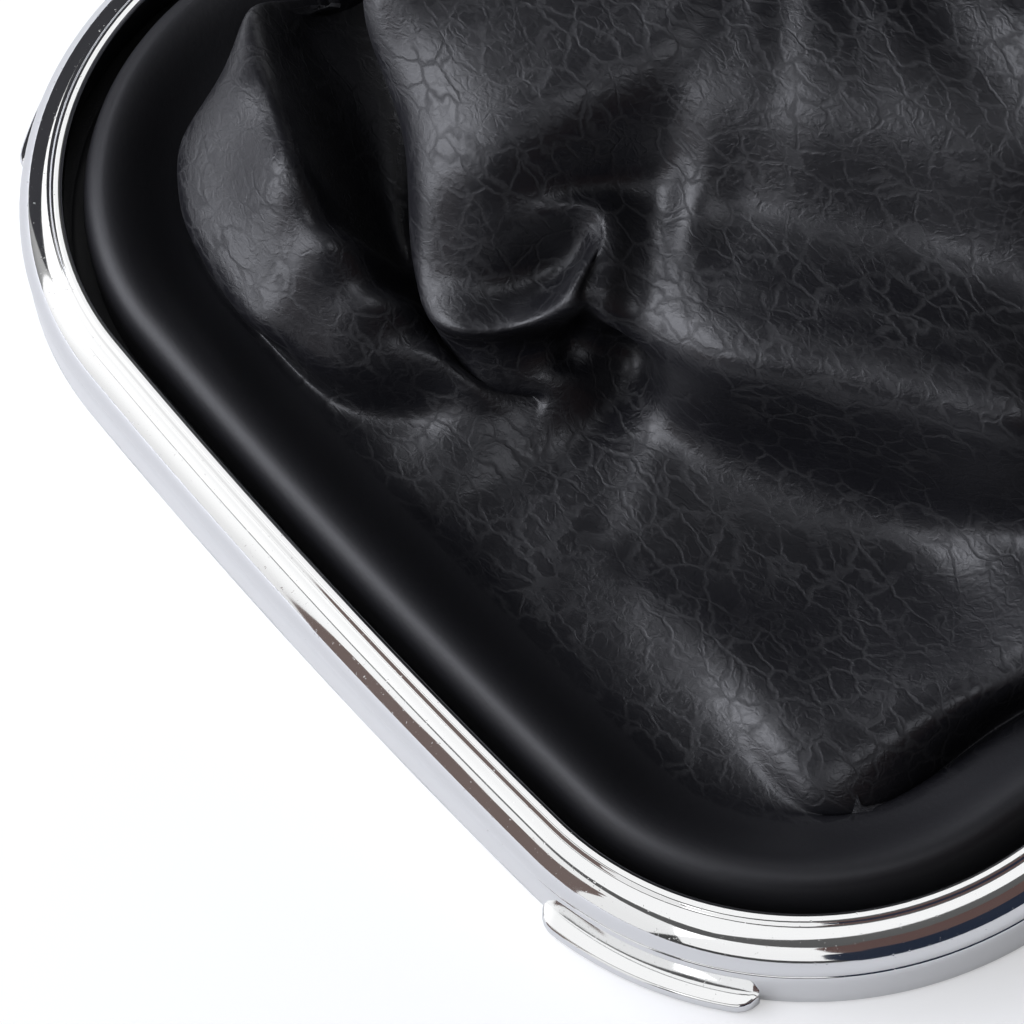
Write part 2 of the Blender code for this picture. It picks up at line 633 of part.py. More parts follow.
def main():
    """Remove what the scene holds and build the gaiter."""
    for item in list(bpy.data.objects):
        bpy.data.objects.remove(item, do_unlink=True)
    build_bezel(new_material("chrome_plate", (0.83, 0.84, 0.85), 0.08, 1.0))
    build_carrier(new_material("carrier_plastic", (0.02, 0.02, 0.021), 0.5))
    build_skin(new_material("leatherette", (0.022, 0.022, 0.025), 0.45))
    build_collar(new_material("collar_plastic", (0.018, 0.018, 0.019), 0.4))
    build_tie(new_material("tie_plastic", (0.012, 0.012, 0.012), 0.35))


main()
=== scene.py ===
"""Looks of the gear lever gaiter: fine skin with its folds and grain, chrome surround, neck and studio."""
import json
import math

import bmesh
import bpy
import numpy as np
from mathutils import Matrix, Vector

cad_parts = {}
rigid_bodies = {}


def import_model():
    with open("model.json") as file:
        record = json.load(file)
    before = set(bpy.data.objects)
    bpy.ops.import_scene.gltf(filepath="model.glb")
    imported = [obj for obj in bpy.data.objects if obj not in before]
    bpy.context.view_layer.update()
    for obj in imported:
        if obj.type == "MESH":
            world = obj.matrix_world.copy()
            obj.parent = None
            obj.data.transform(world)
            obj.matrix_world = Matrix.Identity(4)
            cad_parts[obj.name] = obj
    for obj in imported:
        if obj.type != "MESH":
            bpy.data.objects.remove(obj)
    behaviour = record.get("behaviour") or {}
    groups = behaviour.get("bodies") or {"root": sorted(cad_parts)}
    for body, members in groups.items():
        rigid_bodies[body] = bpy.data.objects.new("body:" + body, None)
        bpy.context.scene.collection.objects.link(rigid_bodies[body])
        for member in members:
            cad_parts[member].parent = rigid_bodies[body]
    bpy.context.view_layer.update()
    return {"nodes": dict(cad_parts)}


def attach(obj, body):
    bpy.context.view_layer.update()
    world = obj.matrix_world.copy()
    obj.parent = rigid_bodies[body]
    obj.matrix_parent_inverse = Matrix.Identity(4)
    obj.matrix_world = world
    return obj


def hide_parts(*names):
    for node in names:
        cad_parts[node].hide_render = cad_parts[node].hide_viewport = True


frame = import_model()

MM = 0.001

# Plan of the frame and section of the surround, as in the part
FRAME_LENGTH = 118.14 * MM
FRAME_WIDTH = 117.94 * MM
CORNER_RADIUS = 26.6 * MM
SIDE_BOW = math.radians(2.6)
BEZEL_HEIGHT = 7.8 * MM
BEZEL_WIDTH = 4.07 * MM
BEZEL_WALL = 1.2 * MM
BEAD_WIDTH = 1.05 * MM
BEAD_GROOVE = 0.38 * MM
SKIRT_HEIGHT = 4.3 * MM
SKIRT_STEP = 0.14 * MM
INNER_WALL_DEPTH = 5.6 * MM
LIP_HALF_LENGTH = FRAME_LENGTH / 2 - BEZEL_WIDTH
LIP_HALF_WIDTH = FRAME_WIDTH / 2 - BEZEL_WIDTH
DRAWN_HALF_LENGTH = 55.0 * MM
DRAWN_HALF_WIDTH = 54.9 * MM
FAR_SIDE_FOLDS = 0.45
LUG_REACH = 1.5 * MM
LUG_THICKNESS = 1.3 * MM
LUG_LENGTH = 16.5 * MM
LUG_PLACE = 0.100

# Boot
SKIN_THICKNESS = 1.2 * MM
ROLL_GAP = 1.4 * MM
ROLL_CREST_INSET = 3.5 * MM
ROLL_CREST_HEIGHT = BEZEL_HEIGHT + 0.2 * MM
ROLL_SHOULDER = 3.2 * MM
HEM_HEIGHT = 2.0 * MM
GUTTER_INSET = 10.4 * MM
GUTTER_HEIGHT = BEZEL_HEIGHT - 4.1 * MM
NECK_RADIUS = 17.4 * MM
NECK_HEIGHT = 66.0 * MM
NECK_SHIFT = (-23.0 * MM, 12.5 * MM)
SLEEVE_LENGTH = 13.0 * MM
WAIST_HEIGHT = 22.0 * MM
WAIST_RADIUS = 32.0 * MM
CONE_TAPER = 22.0 * MM
FOOT_DIP = 4.0 * MM
DIP_SHARE = 0.05
EVEN_RISE = 0.45
ROUND_SHARE = 0.46
LEAN_END = 0.8
LEAN_POWER = 1.3
PLEATS = 18
PLEAT_DEPTH = 0.8 * MM
GATHER_START = 0.60
GATHER_LENGTH = 0.22
GATHER_FADE = 16.0 * MM
HOLD_SHARE = 0.045
FOLDS_END = 0.80
SEAT_GAP = 0.3 * MM
COLLAR_WALL = 1.8 * MM
COLLAR_LENGTH = 16.0 * MM
COLLAR_RIM = 2.2 * MM
TIE_THICKNESS = 1.3 * MM
TIE_WIDTH = 4.6 * MM
TIE_DROP = 6.0 * MM
TIE_HEAD_LENGTH = 6.4 * MM
TIE_HEAD_DEPTH = 4.4 * MM
TIE_HEAD_EXTRA = 1.4 * MM
TIE_HEAD_OFFSET = 0.5 * MM
TIE_HEAD_EDGE = 0.7 * MM
TIE_EDGE = 0.45 * MM
COLLAR_OVERHANG = 0.9 * MM
COLLAR_EDGE = 0.7 * MM

# Studio
FLOOR_HALF = 3.0
FLOOR_DROP = 0.2 * MM
FLAG_CORNERS = 32
FLAG_SQUARENESS = 0.35
DAYLIGHT = (0.95, 0.97, 1.06)

# Rows and stations of the boot's faces, and how far its inner face lies under the outer one
SKIN_STATIONS = 430
ROLL_ROWS = 28
CONE_ROWS = 158
SMOOTHING = 14
ROW_POWER = 1.12
SEEN_BEARING = math.radians(-80)
SEEN_HALF_ANGLE = math.radians(88)
SEEN_FADE = math.radians(6)
SEEN_EXTRA = 1.5
SEEN_TURN = 0.02
INNER_STEP = 5
INNER_OFFSET = 1.0 * MM
INNER_LEAST = 0.4 * MM
INNER_EASING = 12
INNER_PUSHES = 3

# View that the folds were picked in: a square picture, with its camera's turn, height
# angle, roll and distance, the point of the lip's plane it looks at, and its lens over its sensor
VIEW_PIXELS = 1024
VIEW_TURN = math.radians(61.513)
VIEW_ANGLE = math.radians(60.096)
VIEW_ROLL = math.radians(-11.373)
VIEW_DISTANCE = 607.856 * MM
VIEW_AIM = (5.059 * MM, -40.137 * MM)
VIEW_LENS = 268.273 / 36
PICK_STEP = 0.5 * MM

# Folds of the boot, as lines that the surface passes through, each point picked in that
# view: its pixels across and down, its height over the lip in millimetres, and how far up the
# cloth it lies as a share of the length from the gutter to the neck.
FOLDS = {
    "side_flank": [
        (205, 150, 4, 0.09), (225, 215, 4, 0.10), (262, 275, 3.5, 0.10), (300, 318, 3, 0.095),
        (345, 358, 1.5, 0.085), (392, 388, -1, 0.07), (435, 405, -3, 0.06),
    ],
    "side_ridge": [
        (255, 10, 5.5, 0.16), (283, 90, 8.8, 0.168), (316, 180, 9.8, 0.17), (353, 234, 9.2, 0.16),
        (390, 281, 7.2, 0.135), (434, 325, 4.5, 0.11), (454, 354, 2.4, 0.095), (473, 387, -0.4, 0.085),
        (490, 407, -2, 0.075), (532, 403, -2.5, 0.075),
    ],
    "deep_gutter": [
        (393, -5, -2.2, 0.31), (412, 50, -2.4, 0.32), (427, 120, -2.5, 0.32), (431, 220, -3, 0.29),
        (438, 300, -4, 0.22), (462, 365, -4.8, 0.17),
    ],
    "trunk_edge": [
        (428, -20, 20, 0.6), (413, 120, 13.6, 0.5), (409, 240, 6.4, 0.38), (438, 330, 2.2, 0.27),
        (498, 398, -3, 0.13),
    ],
    "shelf_edge": [
        (452, 180, 14, 0.5), (505, 128, 17, 0.53), (600, 84, 18.5, 0.555), (700, 68, 19, 0.56),
        (800, 76, 20, 0.565), (900, 84, 21, 0.57), (1010, 95, 21.5, 0.57),
    ],
    "shelf": [
        (462, 50, 18, 0.56), (520, -20, 19.5, 0.61), (620, -30, 20, 0.61), (740, -40, 21, 0.61),
        (880, -45, 22.5, 0.62), (1010, -45, 23.5, 0.62),
    ],
    "shelf_foot": [
        (456, 268, 8.0, 0.41), (500, 240, 10.4, 0.43), (550, 206, 12.6, 0.45), (625, 205, 10.8, 0.46),
        (720, 228, 11, 0.46), (800, 242, 11.3, 0.46), (900, 260, 11.6, 0.46), (1010, 290, 11.8, 0.46),
    ],
    "lobe_edge": [
        (476, 316, 6.8, 0.36), (522, 326, 8.8, 0.36), (556, 316, 10.4, 0.36),
    ],
    "ridge_back": [
        (312, 30, -1, 0.21), (331, 110, -1, 0.21), (346, 195, -1, 0.205), (376, 258, -1, 0.195),
        (410, 302, -1.5, 0.17), (446, 340, -2.2, 0.14), (465, 372, -3, 0.12),
    ],
    "apron_left": [
        (455, 500, -4.8, 0.05), (540, 460, -4.6, 0.10), (600, 455, -4.2, 0.15), (650, 490, -3.6, 0.18),
    ],
    "lobe_foot": [
        (478, 392, -2, 0.14), (525, 396, -2, 0.14), (575, 372, -1, 0.17),
    ],
    "lobe_side": [
        (601, 255, 6.5, 0.40), (602, 320, 2.0, 0.30), (600, 372, -2.6, 0.19),
    ],
    "belt_ridge": [
        (632, 312, 9.2, 0.395), (720, 330, 11.6, 0.40), (800, 343, 12.4, 0.40), (900, 364, 12.8, 0.40),
        (1000, 395, 12.8, 0.40),
    ],
    "belt_foot": [
        (650, 430, -3.0, 0.22), (720, 448, -1.8, 0.27), (800, 462, -1.0, 0.29), (900, 488, -0.6, 0.30),
        (1000, 515, -0.4, 0.30),
    ],
    "apron": [
        (560, 500, -4.8, 0.11), (650, 560, -4.8, 0.14), (760, 600, -4.5, 0.18), (860, 620, -4.0, 0.19),
        (960, 600, -3.2, 0.20),
    ],
    "apron_tip": [
        (560, 560, -4.8, 0.05), (640, 660, -4.5, 0.05), (730, 745, -4.2, 0.05), (800, 803, -4, 0.045),
    ],
    "pleat_edge": [
        (825, 810, -3.8, 0.05), (870, 775, -2.8, 0.09), (930, 725, -1.3, 0.12), (1000, 672, -0.2, 0.15),
        (1060, 630, 0.8, 0.17),
    ],
    "pleat_foot": [
        (856, 830, -5.4, 0.025), (905, 800, -6, 0.03), (965, 757, -6, 0.03), (1030, 715, -6, 0.035),
    ],
    "flank_edge": [
        (170, 150, 0, 0.05), (178, 215, 0.5, 0.055), (215, 282, 0.5, 0.06), (258, 330, 0.5, 0.06),
        (310, 372, -0.5, 0.055), (370, 400, -2.5, 0.05), (430, 420, -4, 0.045),
    ],
    "ridge_trough": [
        (300, 262, 6, 0.13), (327, 296, 4.4, 0.12), (352, 322, 3.2, 0.11), (384, 352, 1.4, 0.10),
        (415, 378, -0.8, 0.085), (445, 397, -2.4, 0.075),
    ],
    "lobe_ridge": [
        (584, 204, 13.4, 0.445), (582, 262, 12.4, 0.41), (574, 318, 10.0, 0.36),
    ],
    "shelf_low": [
        (628, 252, 10.3, 0.43), (720, 276, 11.2, 0.43), (800, 290, 11.6, 0.43), (900, 310, 12, 0.43),
        (1005, 338, 12.2, 0.43),
    ],
}
# Narrow ridges and grooves, picked in the same view: heights and widths in millimetres
# at their two ends, then the pixels across and down that they pass through
CREASES = {
    "ridge_crest": ((0.2, 0.35, 1.5, 0.8), [
        (302, 176), (337, 230), (373, 277), (418, 322), (444, 354), (468, 387), (490, 406), (527, 406),
        (545, 396),
    ]),
    "lobe_side": ((-0.9, -0.9, 1.0, 1.0), [(588, 205), (594, 265), (586, 325), (566, 372)]),
    "belt_line": ((-0.30, -0.30, 0.35, 0.35), [
        (640, 297), (720, 298), (800, 307), (880, 322), (960, 345), (1015, 362),
    ]),
}
CREASE_STEP = 6
CREASE_REACH = 7
CREASE_FADE = 0.18
LAYER_SHARE = 0.06
FOLD_SOFTNESS = 3.4 * MM
FOLD_SPACING = 4.0 * MM
FOLD_EASE = 0.02 * MM
POINTS_AT_ONCE = 2000

# Rows of the plain cone that the folds leave alone, as a share of the way up and a count, the depth
# that a share below the gutter stands for, and bearings between the two sets of folds with their shares
HELD_ROWS = ((-0.03, 60), (0.0, 90), (0.80, 16), (0.9, 16), (1.0, 16))
HELD_DEPTH = 0.1
HELD_BEARINGS = (math.radians(9), math.radians(189))
HELD_SHARES = (0.15, 0.3, 0.45, 0.6)


def corner_arcs():
    """Tangent arcs of the lip's plan, as radius, start heading and end heading."""
    sine, cosine = math.sin(SIDE_BOW), math.cos(SIDE_BOW)
    spans = np.array([[sine, 1 - cosine], [1 - cosine, sine]])
    corner = CORNER_RADIUS * (cosine - sine)
    long_radius, short_radius = np.linalg.solve(spans, [LIP_HALF_LENGTH - corner, LIP_HALF_WIDTH - corner])
    arcs = []
    for quarter in range(4):
        turn = quarter * math.pi / 2
        first, last = (long_radius, short_radius) if quarter % 2 == 0 else (short_radius, long_radius)
        arcs.append((first, turn, turn + SIDE_BOW))
        arcs.append((CORNER_RADIUS, turn + SIDE_BOW, turn + math.pi / 2 - SIDE_BOW))
        arcs.append((last, turn + math.pi / 2 - SIDE_BOW, turn + math.pi / 2))
    return arcs


def lip_outline(fractions):
    """Plan points and outward normals at fractions of the lip's length, anticlockwise."""
    arcs = corner_arcs()
    lengths = np.array([radius * (end - start) for radius, start, end in arcs])
    ends = np.cumsum(lengths)
    x, y = 0.0, -LIP_HALF_WIDTH
    starts = []
    for radius, start, end in arcs:
        starts.append((x, y))
        x += radius * (math.sin(end) - math.sin(start))
        y += radius * (math.cos(start) - math.cos(end))
    distances = np.mod(np.asarray(fractions, float), 1.0) * ends[-1]
    places = np.minimum(np.searchsorted(ends, distances, side="right"), len(arcs) - 1)
    points, normals = [], []
    for distance, place in zip(distances, places):
        radius, start, _ = arcs[place]
        heading = start + (distance - ends[place] + lengths[place]) / radius
        x, y = starts[place]
        x += radius * (math.sin(heading) - math.sin(start))
        y += radius * (math.cos(start) - math.cos(heading))
        points.append((x, y))
        normals.append((math.sin(heading), -math.cos(heading)))
    return np.array(points), np.array(normals)


def roll_profile(count):
    """Inset from the lip and height of the rolled rim, from the hem over the crest to the gutter."""
    side_top = ROLL_CREST_HEIGHT - ROLL_SHOULDER
    rise = side_top - HEM_HEIGHT
    shoulder = 0.5 * math.pi * 0.5 * (ROLL_SHOULDER + ROLL_CREST_INSET - ROLL_GAP)
    fall = math.hypot(GUTTER_INSET - ROLL_CREST_INSET, ROLL_CREST_HEIGHT - GUTTER_HEIGHT)
    total = rise + shoulder + fall
    profile = []
    for step in range(count):
        length = total * step / count
        if length < rise:
            profile.append((ROLL_GAP, HEM_HEIGHT + length))
        elif length < rise + shoulder:
            turn = (length - rise) / shoulder * math.pi / 2
            inset = ROLL_CREST_INSET - (ROLL_CREST_INSET - ROLL_GAP) * math.cos(turn)
            profile.append((inset, side_top + ROLL_SHOULDER * math.sin(turn)))
        else:
            share = (length - rise - shoulder) / fall
            drop = 0.5 - 0.5 * math.cos(math.pi * share)
            inset = ROLL_CREST_INSET + share * (GUTTER_INSET - ROLL_CREST_INSET)
            profile.append((inset, ROLL_CREST_HEIGHT - drop * (ROLL_CREST_HEIGHT - GUTTER_HEIGHT)))
    return profile


def lean_share(share):
    """How much of the neck's shift the boot has at a share of the way up."""
    return np.clip(share / LEAN_END, 0.0, 1.0) ** LEAN_POWER


def cone_point(share, plan, normal):
    """Point of the plain leaning cone at a share of the way up from the gutter, for arrays of stations."""
    rise = EVEN_RISE * share + (1 - EVEN_RISE) * share ** 2
    height = GUTTER_HEIGHT + (NECK_HEIGHT - GUTTER_HEIGHT) * rise
    height = height - FOOT_DIP * np.exp(-share / DIP_SHARE) * share / DIP_SHARE
    round_off = np.clip(share / ROUND_SHARE, 0.0, 1.0)
    round_off = round_off ** 2 * (3 - 2 * round_off)
    slope = (WAIST_RADIUS - NECK_RADIUS) / (NECK_HEIGHT - SLEEVE_LENGTH - WAIST_HEIGHT)
    radius = NECK_RADIUS + slope * np.maximum(NECK_HEIGHT - SLEEVE_LENGTH - height, 0.0)
    inset = plan - normal * (GUTTER_INSET + CONE_TAPER * share)
    bearing = plan / np.linalg.norm(plan, axis=-1, keepdims=True)
    flat = inset * (1 - round_off) + bearing * radius * round_off
    flat = flat + np.array(NECK_SHIFT) * lean_share(share)
    return np.concatenate([flat, height], axis=-1)


def catmull_rom(points, spacing):
    """Points at about equal spacing on a smooth line through the given ones."""
    points = np.asarray(points, float)
    padded = np.vstack([2 * points[0] - points[1], points, 2 * points[-1] - points[-2]])
    line = []
    for place in range(len(points) - 1):
        before, start, end, after = padded[place:place + 4]
        steps = max(1, round(np.linalg.norm((end - start)[:3]) / spacing))
        for step in range(steps):
            t = step / steps
            first = (end - before) * t
            second = (2 * before - 5 * start + 4 * end - after) * t ** 2
            third = (3 * start - before - 3 * end + after) * t ** 3
            line.append(0.5 * (2 * start + first + second + third))
    line.append(points[-1])
    return np.array(line)


def bearing_fractions(bearings):
    """Fractions of the lip's length at which it is seen in the given directions."""
    fine = np.linspace(0.0, 1.0, 4000, endpoint=False)
    points, _ = lip_outline(fine)
    seen = np.unwrap(np.arctan2(points[:, 1], points[:, 0]))
    wanted = np.mod(bearings - seen[0], 2 * math.pi) + seen[0]
    return np.interp(wanted, np.append(seen, seen[0] + 2 * math.pi), np.append(fine, 1.0))


def view_axes():
    """Eye, right, up and back of the view that the folds were picked in."""
    flat = math.cos(VIEW_ANGLE)
    back = np.array((math.sin(VIEW_TURN) * flat, -math.cos(VIEW_TURN) * flat, math.sin(VIEW_ANGLE)))
    level = np.array((math.cos(VIEW_TURN), math.sin(VIEW_TURN), 0.0))
    upright = np.cross(back, level)
    right = level * math.cos(VIEW_ROLL) + upright * math.sin(VIEW_ROLL)
    up = upright * math.cos(VIEW_ROLL) - level * math.sin(VIEW_ROLL)
    return np.array((*VIEW_AIM, BEZEL_HEIGHT)) + back * VIEW_DISTANCE, right, up, back


def picked_place(across, down, height):
    """Plan position of a picked pixel at a height over the lip, to the nearest step."""
    eye, right, up, back = view_axes()
    middle, pixel = VIEW_PIXELS / 2, 1 / (VIEW_LENS * VIEW_PIXELS)
    ray = right * (across - middle) * pixel + up * (middle - down) * pixel - back
    place = eye + ray * (BEZEL_HEIGHT + height - eye[2]) / ray[2]
    return np.round(place[:2] / PICK_STEP) * PICK_STEP


def seen_pixels(points):
    """Pixels across and down of points in that view, and their depths."""
    eye, right, up, back = view_axes()
    way = points - eye
    depth = -(way @ back)
    scale = VIEW_LENS * VIEW_PIXELS / depth
    return VIEW_PIXELS / 2 + way @ right * scale, VIEW_PIXELS / 2 - way @ up * scale, depth


def fold_lines():
    """Each fold as a smooth line of points, with their heights and shares of the way up."""
    along, across = LIP_HALF_LENGTH / DRAWN_HALF_LENGTH, LIP_HALF_WIDTH / DRAWN_HALF_WIDTH
    lines = []
    for points in FOLDS.values():
        drawn = []
        for pixel_across, pixel_down, height, share in points:
            x, y = picked_place(pixel_across, pixel_down, height * MM)
            drawn.append((x * along, y * across, height * MM + BEZEL_HEIGHT, share))
        lines.append(catmull_rom(drawn, FOLD_SPACING))
    return lines


def held_places():
    """Places that stay on the plain cone: the gutter, the neck and between the two sets of folds."""
    places = []
    for share, count in HELD_ROWS:
        plan, normal = lip_outline(np.arange(count) / count)
        row = cone_point(np.full((count, 1), max(share, 0.0)), plan, normal)
        places.extend(row + (0, 0, min(share, 0.0) * HELD_DEPTH))
    for bearing in HELD_BEARINGS:
        for share in HELD_SHARES:
            plan, normal = lip_outline(bearing_fractions(np.array([bearing])))
            places.extend(cone_point(np.array([[share]]), plan, normal))
    return places


def fold_weights():
    """Centres on the plain cone and their weights, for the folds' displacement of the boot."""
    centres, moves = [], []
    for line in fold_lines():
        share = line[:, 3:]
        seen = line[:, :2] - np.array(NECK_SHIFT) * lean_share(share)
        turns = bearing_fractions(np.arctan2(seen[:, 1], seen[:, 0]))
        plan, normal = lip_outline(turns)
        move = line[:, :3] - cone_point(share, plan, normal)
        # The far side has the same folds half a turn round, but flatter
        for turn, part in ((0.0, np.ones(3)), (0.5, FAR_SIDE_FOLDS * np.array((-1.0, -1.0, 1.0)))):
            plan, normal = lip_outline(np.mod(turns + turn, 1.0))
            centres.extend(cone_point(share, plan, normal))
            moves.extend(move * part)
    held = held_places()
    centres = np.array(centres + held)
    moves = np.array(moves + [np.zeros(3)] * len(held))
    distance = np.linalg.norm(centres[:, None] - centres[None], axis=2)
    kernel = np.sqrt(distance ** 2 + FOLD_SOFTNESS ** 2)
    ones = np.ones((len(centres), 1))
    eased = kernel - FOLD_EASE * np.eye(len(centres))
    system = np.block([[eased, ones], [ones.T, np.zeros((1, 1))]])
    weights = np.linalg.solve(system, np.vstack([moves, np.zeros((1, 3))]))
    return centres, weights


def folded(base, centres, weights):
    """Points of the boot once the folds have moved them."""
    result = np.empty_like(base)
    for start in range(0, len(base), POINTS_AT_ONCE):
        block = base[start:start + POINTS_AT_ONCE]
        distance = np.linalg.norm(block[:, None] - centres[None], axis=2)
        kernel = np.sqrt(distance ** 2 + FOLD_SOFTNESS ** 2)
        result[start:start + POINTS_AT_ONCE] = block + kernel @ weights[:-1] + weights[-1]
    return result


def surface_normals(grid):
    """Unit normals of a grid of points that closes round its second axis."""
    across = np.roll(grid, -1, axis=1) - np.roll(grid, 1, axis=1)
    along = np.gradient(grid, axis=0)
    normal = np.cross(across, along)
    return normal / np.linalg.norm(normal, axis=2, keepdims=True)


def swept_ring(sections):
    """Vertices and faces of closed sections joined round in a ring.

    sections has the shape stations x points x 3.
    """
    sections = np.asarray(sections)
    stations, points, _ = sections.shape
    faces = []
    for station in range(stations):
        near, far = station * points, (station + 1) % stations * points
        for point in range(points):
            after = (point + 1) % points
            faces.append((near + point, far + point, far + after, near + after))
    return sections.reshape(-1, 3), faces


def strip(sections):
    """Vertices and faces of closed sections joined in a row, with end caps."""
    sections = np.asarray(sections)
    stations, points, _ = sections.shape
    last = (stations - 1) * points
    faces = [tuple(range(points)), tuple(last + point for point in reversed(range(points)))]
    for station in range(stations - 1):
        near, far = station * points, (station + 1) * points
        for point in range(points):
            after = (point + 1) % points
            faces.append((near + point, far + point, far + after, near + after))
    return sections.reshape(-1, 3), faces


def frame_ring(section, fractions):
    """Sections of a ring that follows the lip.

    section gives outward offsets from the lip's edge and heights, alike all round or by station.
    """
    points, normals = lip_outline(fractions)
    section = np.asarray(section, float)
    if section.ndim == 2:
        section = np.repeat(section[None], len(fractions), axis=0)
    plan = points[:, None, :] + normals[:, None, :] * section[:, :, :1]
    return np.concatenate([plan, section[:, :, 1:]], axis=2)


def dense_stations(count):
    """Fractions of the lip's length, closer together on the side that the photo shows."""
    fine = np.linspace(0.0, 1.0, 4000, endpoint=False)
    points, _ = lip_outline(fine)
    bearing = np.unwrap(np.arctan2(points[:, 1], points[:, 0]))
    away = np.abs(np.mod(bearing - SEEN_BEARING + math.pi, 2 * math.pi) - math.pi)
    weight = 1.0 + SEEN_EXTRA / (1 + np.exp((away - SEEN_HALF_ANGLE) / SEEN_FADE))
    chord = np.hypot(*(np.roll(points, -1, axis=0) - points).T)
    turned_by = np.abs(np.roll(bearing, -1) - bearing).clip(0, 0.1)
    total = np.concatenate([[0.0], np.cumsum(weight * (chord + SEEN_TURN * turned_by))])
    return np.interp(np.arange(count) / count, total / total[-1], np.append(fine, 1.0))


def gathered(base, plan, share):
    """Outward wave of the pleats under the tie at a row of the plain cone."""
    ramp = np.clip((share - GATHER_START) / GATHER_LENGTH, 0.0, 1.0)
    under_tie = NECK_HEIGHT - TIE_DROP - TIE_WIDTH - base[:, 2:]
    near_tie = np.clip(under_tie / GATHER_FADE, 0.0, 1.0)
    bearing = np.arctan2(plan[:, 1:], plan[:, :1])
    wave = 1 + np.cos(PLEATS * bearing + 0.6 * np.sin(3 * bearing))
    outward = plan / np.linalg.norm(plan, axis=1, keepdims=True)
    return PLEAT_DEPTH * ramp * np.sqrt(near_tie) * wave * outward


def relaxed(grid, free):
    """The grid with its rows eased, each by how free it is."""
    for _ in range(SMOOTHING):
        middle = 0.25 * grid[:-2] + 0.5 * grid[1:-1] + 0.25 * grid[2:]
        middle = 0.25 * np.roll(middle, 1, axis=1) + 0.5 * middle + 0.25 * np.roll(middle, -1, axis=1)
        grid[1:-1] += (middle - grid[1:-1]) * free
    return grid


def boot_grid():
    """Outer surface of the boot, rows from the hem to the neck x stations x 3, and each row's share."""
    fractions = dense_stations(SKIN_STATIONS)
    plan, normal = lip_outline(fractions)
    rows, shares = [], []
    for inset, height in roll_profile(ROLL_ROWS):
        rows.append(np.column_stack([plan - normal * inset, np.full(SKIN_STATIONS, height)]))
        shares.append(-1.0 + len(rows) / ROLL_ROWS)
    centres, weights = fold_weights()
    for row in range(CONE_ROWS):
        share = (row / (CONE_ROWS - 1)) ** ROW_POWER
        base = cone_point(np.full((SKIN_STATIONS, 1), share), plan, normal)
        moved = folded(base, centres, weights)
        hold = min(1.0, share / HOLD_SHARE)
        hold = hold * hold * (3 - 2 * hold) * min(1.0, max(0.0, (FOLDS_END - share) / 0.1))
        point = base + (moved - base) * hold
        point[:, :2] += gathered(base, plan, share)
        rows.append(point)
        shares.append(share)
    grid, shares = np.array(rows), np.array(shares)
    free = np.clip(shares / 0.02, 0.0, 1.0) * np.clip((0.78 - shares) / 0.1, 0.0, 1.0)
    by_gutter = np.exp(-((np.arange(len(grid)) - ROLL_ROWS) / 7.0) ** 2)
    grid = relaxed(grid, np.maximum(free, by_gutter)[1:-1, None, None])
    return creased(grid, shares, fractions), shares


def seen_path(seen, picks):
    """Rows and columns of the grid that the view shows at points along a line of picked pixels."""
    across, down, depth = seen
    rows, columns = [], []
    for x, y, _ in catmull_rom([(x, y, 0.0) for x, y in picks], CREASE_STEP):
        # The nearest of the points close to the pixel is the one that the view shows
        far = np.where(np.hypot(across - x, down - y) < CREASE_REACH, depth, np.inf)
        row, column = np.unravel_index(np.argmin(far), far.shape)
        rows.append(row)
        columns.append(column)
    return rows, columns


def nearest_on(path, grid):
    """Distance of each point of the grid from a path, and how far along the path that is."""
    nearest = np.full(grid.shape[:2], 1.0)
    place = np.zeros(grid.shape[:2])
    for start in range(len(path) - 1):
        step = path[start + 1] - path[start]
        part = np.clip((grid - path[start]) @ step / max(float(step @ step), 1e-12), 0.0, 1.0)
        distance = np.linalg.norm(grid - path[start] - part[..., None] * step, axis=2)
        closer = distance < nearest
        nearest = np.where(closer, distance, nearest)
        place = np.where(closer, (start + part) / (len(path) - 1), place)
    return nearest, place


def creased(grid, shares, fractions):
    """The boot's grid with narrow ridges and grooves added along its normals."""
    normal = surface_normals(grid)
    shift = np.zeros(grid.shape[:2])
    seen = seen_pixels(grid)
    for (height, end_height, width, end_width), picks in CREASES.values():
        rows, columns = seen_path(seen, picks)
        for half, flatter in ((0.0, 1.0), (0.5, FAR_SIDE_FOLDS)):
            stations = np.searchsorted(fractions, np.mod(fractions[columns] + half, 1.0))
            path = grid[rows, stations % len(fractions)]
            path[1:-1] = 0.25 * path[:-2] + 0.5 * path[1:-1] + 0.25 * path[2:]
            nearest, place = nearest_on(path, grid)
            reach = (width + (end_width - width) * place) * MM
            size = (height + (end_height - height) * place) * MM * flatter
            own_share = np.interp(place, np.linspace(0, 1, len(rows)), shares[rows])
            same_layer = np.clip(1.5 - np.abs(shares[:, None] - own_share) / LAYER_SHARE, 0.0, 1.0)
            fade = np.clip(np.minimum(place, 1 - place) / CREASE_FADE, 0.0, 1.0)
            fade = fade * fade * (3 - 2 * fade)
            shift += size * np.exp(-(nearest / reach) ** 2) * fade * same_layer
    return grid + normal * shift[..., None]


def link(item):
    bpy.context.scene.collection.objects.link(item)
    return item


def mesh_object(name, vertices, faces, material, angle=None):
    """Smooth mesh object riding on the one body."""
    mesh = bpy.data.meshes.new(name)
    mesh.from_pydata(np.asarray(vertices, float).tolist(), [], faces)
    mesh.update()
    work = bmesh.new()
    work.from_mesh(mesh)
    bmesh.ops.recalc_face_normals(work, faces=work.faces)
    work.to_mesh(mesh)
    work.free()
    mesh.shade_smooth()
    if angle is not None:
        mesh.set_sharp_from_angle(angle=math.radians(angle))
    mesh.materials.append(material)
    item = link(bpy.data.objects.new(name, mesh))
    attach(item, "root")
    return item


